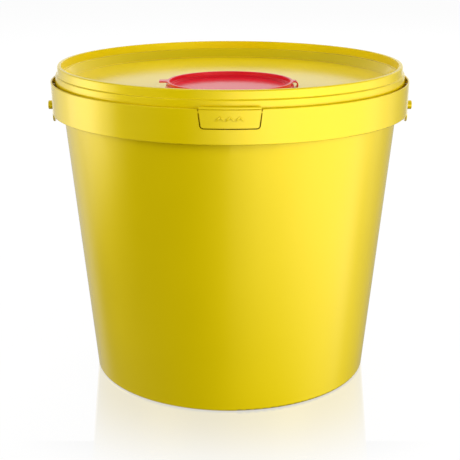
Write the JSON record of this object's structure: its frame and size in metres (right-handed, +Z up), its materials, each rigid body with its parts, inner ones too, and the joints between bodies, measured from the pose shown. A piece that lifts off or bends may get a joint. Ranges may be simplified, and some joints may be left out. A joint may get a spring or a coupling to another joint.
{
  "type": "medical waste bucket",
  "caption": "Round tapered yellow plastic bucket with a guard collar and tear tab, a yellow lid hooked over its rim, and a red round closure on a strap hinge in the lid.",
  "frame": {"origin": "middle of the standing surface under the foot, on the bucket's axis", "axes": "+Z up along the bucket's axis, -Y towards the tear tab, +X towards the closure's strap hinge; the handle studs lie at +X and -X"},
  "size_m": [0.283, 0.2757, 0.2435],
  "materials": {
    "yellow_plastic": "glossy",
    "red_plastic": "glossy"
  },
  "bodies": {
    "bucket_body": {"bucket": "yellow_plastic"},
    "lid_body": {"lid": "yellow_plastic", "closure_ring": "red_plastic", "closure_strap": "red_plastic"},
    "cap_body": {"closure_cap": "red_plastic"}
  },
  "joints": [
    {"name": "lid_lift", "type": "slide", "parent": "bucket_body", "child": "lid_body", "axis": [0, 0, 1], "range_m": [0, 0.06]},
    {"name": "cap_hinge", "type": "hinge", "parent": "lid_body", "child": "cap_body", "pos_m": [0.0494, -0.0485, 0.2338], "axis": [0, 1, 0], "range_deg": [0, 160], "deforming": ["closure_strap"]}
  ]
}
